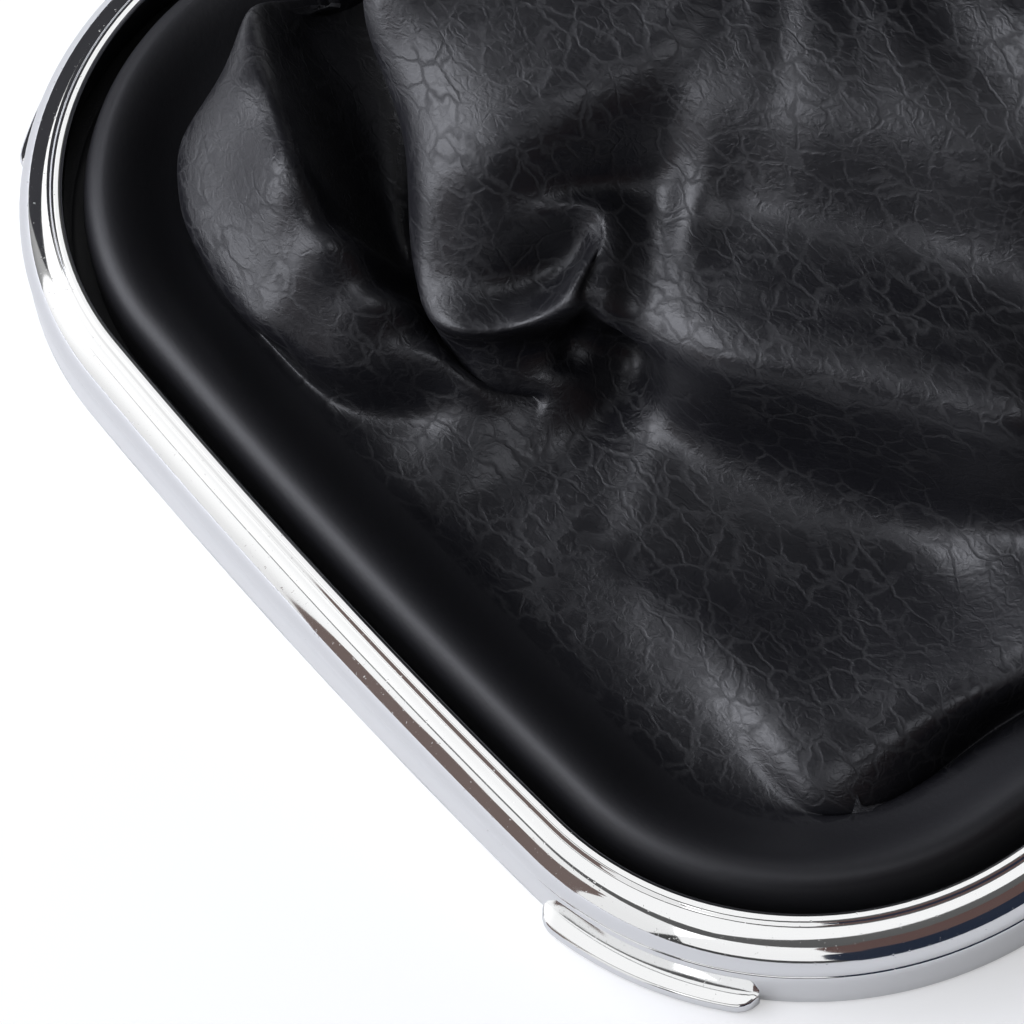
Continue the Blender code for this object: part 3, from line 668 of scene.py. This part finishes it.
class Nodes:
    """Small helper to write a material's node tree."""

    def __init__(self, name):
        self.material = bpy.data.materials.new(name)
        self.material.use_nodes = True
        self.tree = self.material.node_tree
        self.shader = next(node for node in self.tree.nodes if node.type == "BSDF_PRINCIPLED")

    def add(self, kind, **settings):
        node = self.tree.nodes.new(kind)
        for key, value in settings.items():
            setattr(node, key, value)
        return node

    def join(self, source, target):
        self.tree.links.new(source, target)

    def put(self, socket, value):
        if isinstance(value, bpy.types.NodeSocket):
            self.join(value, socket)
        else:
            socket.default_value = value

    def math(self, operation, first, second=None, third=None):
        node = self.add("ShaderNodeMath", operation=operation)
        for socket, value in zip(node.inputs, (first, second, third)):
            if value is not None:
                self.put(socket, value)
        return node.outputs[0]

    def remap(self, value, low, high, to_low=0.0, to_high=1.0):
        node = self.add("ShaderNodeMapRange", interpolation_type="SMOOTHSTEP")
        for socket, entry in zip(node.inputs, (value, low, high, to_low, to_high)):
            self.put(socket, entry)
        return node.outputs[0]

    def noise(self, vector, scale, detail=2.0, rough=0.5):
        node = self.add("ShaderNodeTexNoise")
        self.put(node.inputs["Vector"], vector)
        node.inputs["Scale"].default_value = scale
        node.inputs["Detail"].default_value = detail
        node.inputs["Roughness"].default_value = rough
        return node

    def edges(self, vector, scale):
        node = self.add("ShaderNodeTexVoronoi", feature="DISTANCE_TO_EDGE")
        self.put(node.inputs["Vector"], vector)
        node.inputs["Scale"].default_value = scale
        node.inputs["Randomness"].default_value = 1.0
        return node.outputs["Distance"]

    def bump(self, height, distance):
        node = self.add("ShaderNodeBump")
        node.inputs["Strength"].default_value = 1.0
        node.inputs["Distance"].default_value = distance
        self.put(node.inputs["Height"], height)
        return node.outputs["Normal"]

    def mix(self, factor, first, second):
        node = self.add("ShaderNodeMix", data_type="RGBA")
        self.put(node.inputs[0], factor)
        self.put(node.inputs[6], first)
        self.put(node.inputs[7], second)
        return node.outputs[2]

    def attribute(self, name):
        return self.add("ShaderNodeAttribute", attribute_name=name).outputs["Fac"]


def leather_material():
    """Black grained leatherette: soft creased cells, finer lines between them, pores and a satin sheen."""
    n = Nodes("leatherette_fine")
    place = n.add("ShaderNodeTexCoord").outputs["Object"]
    stretched = n.add("ShaderNodeMapping", vector_type="POINT")
    n.join(place, stretched.inputs["Vector"])
    stretched.inputs["Rotation"].default_value = (0.0, 0.0, -VIEW_TURN)
    stretched.inputs["Scale"].default_value = (0.55, 1.0, 1.0)
    drift = n.noise(place, 260.0, 3.0, 0.6)
    warp = n.add("ShaderNodeVectorMath", operation="MULTIPLY_ADD")
    n.join(drift.outputs["Color"], warp.inputs[0])
    warp.inputs[1].default_value = (0.0022, 0.0022, 0.0022)
    n.join(stretched.outputs[0], warp.inputs[2])
    warped = warp.outputs[0]
    grain = n.attribute("grain")
    cells = n.edges(warped, 520.0)
    fine_cells = n.edges(warped, 1150.0)
    line = n.math("SUBTRACT", 1.0, n.remap(cells, 0.0, 0.12))
    fine_line = n.math("SUBTRACT", 1.0, n.remap(fine_cells, 0.0, 0.16))
    shown = n.remap(n.noise(place, 190.0, 2.0).outputs["Fac"], 0.36, 0.60, 0.25, 1.0)
    hidden = n.remap(n.noise(place, 310.0, 2.0).outputs["Fac"], 0.40, 0.62, 0.05, 0.40)
    crease = n.math("MAXIMUM", n.math("MULTIPLY", line, shown), n.math("MULTIPLY", fine_line, hidden))
    crease = n.math("MULTIPLY", crease, grain)
    # Fine wrinkles, drawn out along the picture, and a mottle that is stronger on the plain rim
    drawn_out = n.add("ShaderNodeMapping", vector_type="POINT")
    n.join(warped, drawn_out.inputs["Vector"])
    drawn_out.inputs["Scale"].default_value = (0.5, 1.3, 1.0)
    ripple = n.noise(drawn_out.outputs[0], 620.0, 4.0, 0.62).outputs["Fac"]
    wrinkle = n.math("ABSOLUTE", n.math("MULTIPLY_ADD", ripple, 2.0, -1.0))
    wrinkle = n.math("SUBTRACT", 1.0, n.remap(wrinkle, 0.0, 0.22))
    mottle = n.noise(place, 1500.0, 4.0, 0.68).outputs["Fac"]
    pores = n.noise(place, 3400.0, 3.0, 0.6).outputs["Fac"]
    height = n.math("MULTIPLY_ADD", wrinkle, 0.40, n.math("MULTIPLY", crease, -0.9))
    height = n.math("MULTIPLY", height, grain)
    height = n.math("MULTIPLY_ADD", mottle, n.math("MULTIPLY_ADD", grain, -0.35, 0.75), height)
    height = n.math("MULTIPLY_ADD", pores, 0.25, height)
    n.join(n.bump(height, 0.000027), n.shader.inputs["Normal"])
    cloud = n.noise(place, 60.0, 3.0).outputs["Fac"]
    base = n.mix(cloud, (0.0040, 0.0040, 0.0054, 1.0), (0.0076, 0.0076, 0.0098, 1.0))
    n.join(base, n.shader.inputs["Base Color"])
    rough = n.math("MULTIPLY_ADD", pores, 0.10, n.math("MULTIPLY_ADD", grain, -0.17, 0.46))
    n.join(n.math("MULTIPLY_ADD", crease, 0.30, rough), n.shader.inputs["Roughness"])
    n.shader.inputs["Specular IOR Level"].default_value = 0.5
    return n.material


def chrome_material():
    """Bright plate with a faint ripple, tiny pits and slight haze."""
    n = Nodes("chrome_plate_fine")
    place = n.add("ShaderNodeTexCoord").outputs["Object"]
    n.shader.inputs["Base Color"].default_value = (0.90, 0.905, 0.91, 1.0)
    n.shader.inputs["Metallic"].default_value = 1.0
    haze = n.noise(place, 140.0, 4.0).outputs["Fac"]
    n.join(n.remap(haze, 0.3, 0.8, 0.035, 0.10), n.shader.inputs["Roughness"])
    ripple = n.noise(place, 110.0, 2.0).outputs["Fac"]
    pits = n.noise(place, 2600.0, 2.0, 0.7).outputs["Fac"]
    height = n.math("MULTIPLY_ADD", n.remap(pits, 0.66, 0.80), -0.25, n.math("MULTIPLY", ripple, 0.6))
    n.join(n.bump(height, 0.00004), n.shader.inputs["Normal"])
    return n.material


def plastic_material(name, colour, roughness):
    """Moulded plastic with a fine spark texture."""
    n = Nodes(name)
    place = n.add("ShaderNodeTexCoord").outputs["Object"]
    fine = n.noise(place, 4200.0, 3.0, 0.6).outputs["Fac"]
    cloud = n.noise(place, 90.0, 2.0).outputs["Fac"]
    n.join(n.mix(cloud, (*colour, 1.0), (*[c * 1.5 for c in colour], 1.0)), n.shader.inputs["Base Color"])
    n.join(n.math("MULTIPLY_ADD", cloud, 0.12, roughness), n.shader.inputs["Roughness"])
    n.join(n.bump(fine, 0.00003), n.shader.inputs["Normal"])
    return n.material


def inner_face(outer, rows):
    """Inner face of the boot at some of its rows, kept under the outer face where the folds are tight."""
    normal = surface_normals(outer)
    for _ in range(INNER_EASING):
        normal[1:-1] = 0.25 * normal[:-2] + 0.5 * normal[1:-1] + 0.25 * normal[2:]
        normal = 0.25 * np.roll(normal, 1, axis=1) + 0.5 * normal + 0.25 * np.roll(normal, -1, axis=1)
    normal /= np.linalg.norm(normal, axis=2, keepdims=True)
    inner = outer - normal * INNER_OFFSET
    for _ in range(INNER_EASING):
        middle = inner.copy()
        middle[1:-1] = 0.25 * inner[:-2] + 0.5 * inner[1:-1] + 0.25 * inner[2:]
        middle = 0.25 * np.roll(middle, 1, axis=1) + 0.5 * middle + 0.25 * np.roll(middle, -1, axis=1)
        inner += normal * np.minimum(((middle - inner) * normal).sum(axis=2, keepdims=True), 0.0)
    for _ in range(INNER_PUSHES):
        # Fewer rows cut across a hollow, so the rows on both sides of it go deeper
        push = np.zeros((len(rows), outer.shape[1], 1))
        for place, (first, last) in enumerate(zip(rows[:-1], rows[1:])):
            part = np.linspace(0.0, 1.0, last - first + 1)[:, None, None]
            chord = inner[first] * (1 - part) + inner[last] * part
            gap = ((outer[first:last + 1] - chord) * normal[first:last + 1]).sum(axis=2, keepdims=True)
            short = np.clip(INNER_LEAST - gap, 0.0, INNER_OFFSET).max(axis=0)
            push[place] = np.maximum(push[place], short)
            push[place + 1] = np.maximum(push[place + 1], short)
        inner[rows] -= normal[rows] * push
    inner = inner[rows]
    inner[0, :, 2] = outer[0, :, 2]
    inner[-1, :, 2] = outer[-1, :, 2]
    return inner


def build_boot(material):
    """The leatherette skin: a fine outer face and a plainer inner one, joined at the hem and the neck."""
    outer, shares = boot_grid()
    inner_rows = sorted(set(range(0, len(outer), INNER_STEP)) | {len(outer) - 1})
    inner = inner_face(outer, inner_rows)
    loop = np.concatenate([outer, inner[::-1]], axis=0)
    rows, stations, _ = loop.shape
    faces = []
    for row in range(rows):
        for station in range(stations):
            after = (station + 1) % stations
            low, high = row * stations, (row + 1) % rows * stations
            faces.append((low + station, low + after, high + after, high + station))
    boot = mesh_object("gaiter_boot", loop.reshape(-1, 3), faces, material)
    row_share = np.repeat(np.concatenate([shares, shares[inner_rows][::-1]]), stations)
    grain = np.clip((row_share + 0.02) / 0.03, 0.0, 1.0)
    layer = boot.data.attributes.new("grain", "FLOAT", "POINT")
    layer.data.foreach_set("value", grain.astype(np.float32))
    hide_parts("gaiter_skin")


def bezel_profile():
    """Section of the chrome surround with finely rounded edges."""
    wall_foot = BEZEL_HEIGHT - INNER_WALL_DEPTH
    bead_middle = 0.5 * BEAD_WIDTH
    section = [(0.0, wall_foot), (0.0, BEZEL_HEIGHT - 1.6 * MM)]
    for step in range(11):
        turn = math.pi * (1 - step / 10 * 0.90)
        drop = BEAD_GROOVE * (1 - math.sin(turn))
        section.append((bead_middle + bead_middle * math.cos(turn), BEZEL_HEIGHT - drop))
    face_width = BEZEL_WIDTH - BEAD_WIDTH - 0.05 * MM
    face_drop = BEZEL_HEIGHT - BEAD_GROOVE - SKIRT_HEIGHT
    for step in range(19):
        turn = math.radians(87 - step * 4.5)
        section.append((BEAD_WIDTH + face_width * math.cos(turn), SKIRT_HEIGHT + face_drop * math.sin(turn)))
    skirt_top = BEZEL_WIDTH - 0.1 * MM
    section.append((skirt_top - SKIRT_STEP * 0.8, SKIRT_HEIGHT - 0.06 * MM))
    section.append((skirt_top - SKIRT_STEP, SKIRT_HEIGHT - 0.14 * MM))
    section.append((skirt_top - SKIRT_STEP * 0.4, SKIRT_HEIGHT - 0.24 * MM))
    below_step = SKIRT_HEIGHT - 0.36 * MM
    section.append((skirt_top, below_step))
    for step in range(1, 5):
        section.append((skirt_top + step / 5 * 0.1 * MM, below_step - step / 5 * (SKIRT_HEIGHT - 0.9 * MM)))
    section.append((BEZEL_WIDTH, 0.25 * MM))
    section.append((BEZEL_WIDTH - 0.08 * MM, 0.08 * MM))
    section.append((BEZEL_WIDTH - 0.25 * MM, 0.0))
    section.append((BEZEL_WIDTH - BEZEL_WALL, 0.0))
    section.append((BEZEL_WIDTH - BEZEL_WALL - 0.1 * MM, SKIRT_HEIGHT - 0.3 * MM))
    section.append((BEZEL_WIDTH - 1.6 * BEZEL_WALL, BEZEL_HEIGHT - 2.3 * BEZEL_WALL))
    section.append((BEZEL_WALL, BEZEL_HEIGHT - 1.6 * BEZEL_WALL))
    section.append((BEZEL_WALL, wall_foot))
    return section


def lug_profile(middle):
    """Sections of one fixing lug with rounded ends."""
    perimeter = sum(radius * (end - start) for radius, start, end in corner_arcs())
    steps = 40
    fractions = middle + (np.arange(steps + 1) / steps - 0.5) * LUG_LENGTH / perimeter
    root = BEZEL_WIDTH - 0.6 * BEZEL_WALL
    sections = []
    for step in range(steps + 1):
        end = min(step, steps - step) / 4.0
        reach = LUG_REACH * math.sqrt(max(0.0, 1 - max(0.0, 1 - end) ** 2)) if end < 1 else LUG_REACH
        tip = BEZEL_WIDTH + max(reach, 0.3 * LUG_REACH)
        section = [(root, 0.0), (tip - 0.2 * MM, 0.0)]
        for turn in range(7):
            angle = math.radians(-90 + turn * 30)
            height = LUG_THICKNESS / 2 + LUG_THICKNESS / 2 * math.sin(angle)
            section.append((tip - 0.3 * MM + 0.3 * MM * math.cos(angle), height))
        section.append((root, LUG_THICKNESS))
        sections.append(section)
    return frame_ring(sections, fractions)


def build_bezel(material):
    """Chrome surround and its lugs."""
    fractions = np.arange(360) / 360
    vertices, faces = swept_ring(frame_ring(bezel_profile(), fractions))
    bezel = mesh_object("surround", vertices, faces, material, 50)
    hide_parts("chrome_bezel")
    for quarter in range(4):
        vertices, faces = strip(lug_profile(LUG_PLACE + quarter / 4))
        lug = mesh_object("surround_lug_%d" % quarter, vertices, faces, material, 50)


def turned(name, profile, material, angle=35, stations=128):
    """Ring turned round the neck's axis."""
    sections = []
    for station in range(stations):
        turn = 2 * math.pi * station / stations
        section = []
        for radius, height in profile:
            x = NECK_SHIFT[0] + radius * math.cos(turn)
            y = NECK_SHIFT[1] + radius * math.sin(turn)
            section.append((x, y, height))
        sections.append(section)
    vertices, faces = swept_ring(sections)
    item = mesh_object(name, vertices, faces, material, angle)
    return item


def rounded(points, radius, steps=4):
    """Closed outline with its corners rounded."""
    points = [Vector(point) for point in points]
    result = []
    for place, corner in enumerate(points):
        before, after = points[place - 1] - corner, points[(place + 1) % len(points)] - corner
        reach = min(radius, 0.45 * before.length, 0.45 * after.length)
        first, last = corner + before.normalized() * reach, corner + after.normalized() * reach
        for step in range(steps + 1):
            t = step / steps
            result.append(tuple((1 - t) ** 2 * first + 2 * t * (1 - t) * corner + t * t * last))
    return result


def build_collar(material):
    """Collar inside the neck, with its rim."""
    outer = NECK_RADIUS - SKIN_THICKNESS - SEAT_GAP
    bore = outer - COLLAR_WALL
    foot = NECK_HEIGHT - COLLAR_LENGTH
    rim = NECK_RADIUS + COLLAR_OVERHANG
    seat = NECK_HEIGHT + SEAT_GAP
    top = seat + COLLAR_RIM
    outline = [(bore, foot), (outer, foot), (outer, seat), (rim, seat), (rim, top), (bore, top)]
    collar = turned("collar", rounded(outline, COLLAR_EDGE), material)
    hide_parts("neck_collar")


def build_tie(material):
    """Band round the neck and its lock."""
    middle = NECK_HEIGHT - TIE_DROP
    inner = NECK_RADIUS + SEAT_GAP
    outer = inner + TIE_THICKNESS
    low, high = middle - TIE_WIDTH / 2, middle + TIE_WIDTH / 2
    outline = [(inner, low), (outer, low), (outer, high), (inner, high)]
    tie = turned("tie_band", rounded(outline, TIE_EDGE), material)
    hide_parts("neck_tie")
    mesh = bpy.data.meshes.new("tie_lock")
    work = bmesh.new()
    bmesh.ops.create_cube(work, size=1.0)
    size = (TIE_HEAD_LENGTH, TIE_HEAD_DEPTH, TIE_WIDTH + TIE_HEAD_EXTRA)
    bmesh.ops.scale(work, vec=size, verts=work.verts)
    bmesh.ops.bevel(work, geom=work.edges[:], offset=TIE_HEAD_EDGE, segments=4, affect="EDGES", profile=0.5)
    place = (NECK_SHIFT[0], NECK_SHIFT[1] + inner + TIE_HEAD_OFFSET + TIE_HEAD_DEPTH / 2, middle)
    bmesh.ops.translate(work, vec=place, verts=work.verts)
    work.to_mesh(mesh)
    work.free()
    mesh.shade_smooth()
    mesh.materials.append(material)
    head = link(bpy.data.objects.new("tie_lock", mesh))
    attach(head, "root")


def build_camera():
    """Camera at the angle of the view that the folds were picked in."""
    eye, right, up, back = view_axes()
    data = bpy.data.cameras.new("camera")
    camera = link(bpy.data.objects.new("camera", data))
    place = Matrix((right, up, back)).transposed().to_4x4()
    place.translation = Vector(eye)
    camera.matrix_world = place
    data.sensor_width = 36.0
    data.lens = VIEW_LENS * data.sensor_width
    data.clip_start = 0.01
    bpy.context.scene.camera = camera


def build_floor():
    """Pale floor, which the camera and reflections see a little brighter than its lit paper."""
    size = FLOOR_HALF
    corners = [(-size, -size, 0), (size, -size, 0), (size, size, 0), (-size, size, 0)]
    mesh = bpy.data.meshes.new("floor")
    mesh.from_pydata(corners, [], [(0, 1, 2, 3)])
    floor = link(bpy.data.objects.new("floor", mesh))
    floor.location.z = -FLOOR_DROP
    n = Nodes("floor_paper")
    n.shader.inputs["Base Color"].default_value = (0.64, 0.64, 0.64, 1.0)
    n.shader.inputs["Roughness"].default_value = 0.9
    n.shader.inputs["Emission Color"].default_value = (1.0, 1.0, 1.0, 1.0)
    rays = n.add("ShaderNodeLightPath")
    glow = n.math("MULTIPLY", rays.outputs["Is Camera Ray"], 0.38)
    glow = n.math("MULTIPLY_ADD", rays.outputs["Is Glossy Ray"], 0.06, glow)
    n.join(glow, n.shader.inputs["Emission Strength"])
    mesh.materials.append(n.material)


def facing(tree, where, direction, low, high, weakest, strongest):
    """World level that rises from weakest to strongest as the sky turns to a direction."""
    towards = tree.nodes.new("ShaderNodeVectorMath")
    towards.operation = "DOT_PRODUCT"
    tree.links.new(where, towards.inputs[0])
    towards.inputs[1].default_value = Vector(direction).normalized()
    ramp = tree.nodes.new("ShaderNodeMapRange")
    ramp.interpolation_type = "SMOOTHSTEP"
    tree.links.new(towards.outputs["Value"], ramp.inputs[0])
    for socket, value in zip(ramp.inputs[1:5], (low, high, weakest, strongest)):
        socket.default_value = value
    return ramp.outputs[0]


def larger(tree, first, second):
    """The larger of two values of a node tree."""
    node = tree.nodes.new("ShaderNodeMath")
    node.operation = "MAXIMUM"
    tree.links.new(first, node.inputs[0])
    tree.links.new(second, node.inputs[1])
    return node.outputs[0]


def build_world():
    """Dim sky, brighter on the key lamp's side and overhead, and white to the camera."""
    world = bpy.data.worlds.new("studio")
    bpy.context.scene.world = world
    world.use_nodes = True
    tree = world.node_tree
    background = next(node for node in tree.nodes if node.type == "BACKGROUND")
    where = tree.nodes.new("ShaderNodeTexCoord").outputs["Generated"]
    key_side = facing(tree, where, (-0.80, -0.30, 0.45), 0.74, 1.0, 0.06, 0.42)
    overhead = facing(tree, where, (0.0, -0.1, 1.0), 0.4, 1.0, 0.06, 0.11)
    level = larger(tree, key_side, overhead)
    level = larger(tree, level, tree.nodes.new("ShaderNodeLightPath").outputs["Is Camera Ray"])
    tree.links.new(level, background.inputs[1])
    background.inputs[0].default_value = (1.0, 1.0, 1.0, 1.0)


def soft_box(name, width, length, radiance, direction, distance, lit, colour=(1.0, 1.0, 1.0)):
    """Rectangular lamp that faces the part and lights one collection."""
    data = bpy.data.lights.new(name, "AREA")
    data.shape = "RECTANGLE"
    data.size, data.size_y = width, length
    data.energy = radiance * math.pi * width * length
    data.color = colour
    lamp = link(bpy.data.objects.new(name, data))
    lamp.location = Vector(direction).normalized() * distance
    lamp.rotation_euler = (-lamp.location).to_track_quat("-Z", "Y").to_euler()
    lamp.visible_camera = False
    lamp.light_linking.receiver_collection = lit


def flag(name, centre, distance, width, height, colour, waver=0.0):
    """Card that only reflections show, facing the part, with a slightly uneven outline."""
    towards = Vector(centre).normalized()
    side = towards.cross(Vector((0.0, 0.0, 1.0))).normalized()
    rise = side.cross(towards)
    corners = []
    for turn in range(FLAG_CORNERS):
        angle = 2 * math.pi * turn / FLAG_CORNERS
        uneven = math.sin(3 * angle + 1.0) + 0.6 * math.sin(7 * angle) + 0.4 * math.sin(11 * angle + 2.0)
        reach = 1.0 + waver * uneven
        x = math.copysign(abs(math.cos(angle)) ** FLAG_SQUARENESS, math.cos(angle)) * reach * width / 2
        y = math.copysign(abs(math.sin(angle)) ** FLAG_SQUARENESS, math.sin(angle)) * reach * height / 2
        corners.append(towards * distance + side * x + rise * y)
    mesh = bpy.data.meshes.new(name)
    mesh.from_pydata(corners, [], [tuple(range(FLAG_CORNERS))])
    card = link(bpy.data.objects.new(name, mesh))
    n = Nodes(name + "_cloth")
    n.shader.inputs["Base Color"].default_value = (0.0, 0.0, 0.0, 1.0)
    n.shader.inputs["Roughness"].default_value = 1.0
    n.shader.inputs["Emission Color"].default_value = (*colour, 1.0)
    n.shader.inputs["Emission Strength"].default_value = 1.0
    mesh.materials.append(n.material)
    card.visible_camera = card.visible_diffuse = card.visible_shadow = False
    card.visible_transmission = card.visible_volume_scatter = False


def build_lamps():
    """Windows for the skin and the floor, cards for the chrome, and flags in its reflections."""
    metal, rest = bpy.data.collections.new("metal"), bpy.data.collections.new("all_but_metal")
    for item in bpy.context.scene.objects:
        if item.type == "MESH":
            (metal if item.name.startswith("surround") else rest).objects.link(item)
    soft_box("window_key", 0.70, 0.66, 4.4, (-0.82, -0.30, 0.46), 0.9, rest, DAYLIGHT)
    soft_box("window_side", 0.75, 0.95, 4.3, (-0.38, -0.84, 0.40), 0.9, rest, DAYLIGHT)
    soft_box("window_front", 0.30, 0.30, 3.0, (0.32, -0.16, 0.92), 0.9, rest, DAYLIGHT)
    soft_box("card_high", 1.3, 1.3, 0.9, (-0.30, 0.05, 0.95), 1.0, metal)
    soft_box("card_side", 1.3, 0.9, 0.82, (-0.30, -0.85, 0.42), 1.0, metal)
    soft_box("card_front", 0.7, 0.7, 0.9, (0.55, -0.72, 0.45), 1.0, metal)
    soft_box("card_right", 1.3, 0.9, 0.95, (0.80, 0.45, 0.50), 1.0, metal)
    flag("flag_left", (-0.93, 0.10, 0.34), 0.30, 0.44, 0.22, (0.035, 0.035, 0.040))
    flag("flag_brown", (-0.11, -0.97, 0.16), 0.20, 0.085, 0.17, (0.16, 0.12, 0.11), 0.10)
    flag("flag_corner", (0.87, -0.06, 0.48), 0.22, 0.25, 0.15, (0.10, 0.06, 0.055), 0.10)
    flag("flag_dark", (0.84, -0.22, 0.16), 0.20, 0.17, 0.10, (0.012, 0.018, 0.035), 0.12)


leather = leather_material()
chrome = chrome_material()
build_boot(leather)
build_bezel(chrome)
collar_fine = plastic_material("collar_fine", (0.012, 0.012, 0.013), 0.38)
tie_fine = plastic_material("tie_fine", (0.008, 0.008, 0.008), 0.34)
build_collar(collar_fine)
build_tie(tie_fine)
carrier_fine = plastic_material("carrier_fine", (0.012, 0.012, 0.013), 0.45)
for holder in frame["nodes"]["carrier_frame"].material_slots:
    holder.material = carrier_fine
bpy.context.scene.view_settings.view_transform = "Standard"
build_camera()
build_floor()
build_world()
build_lamps()
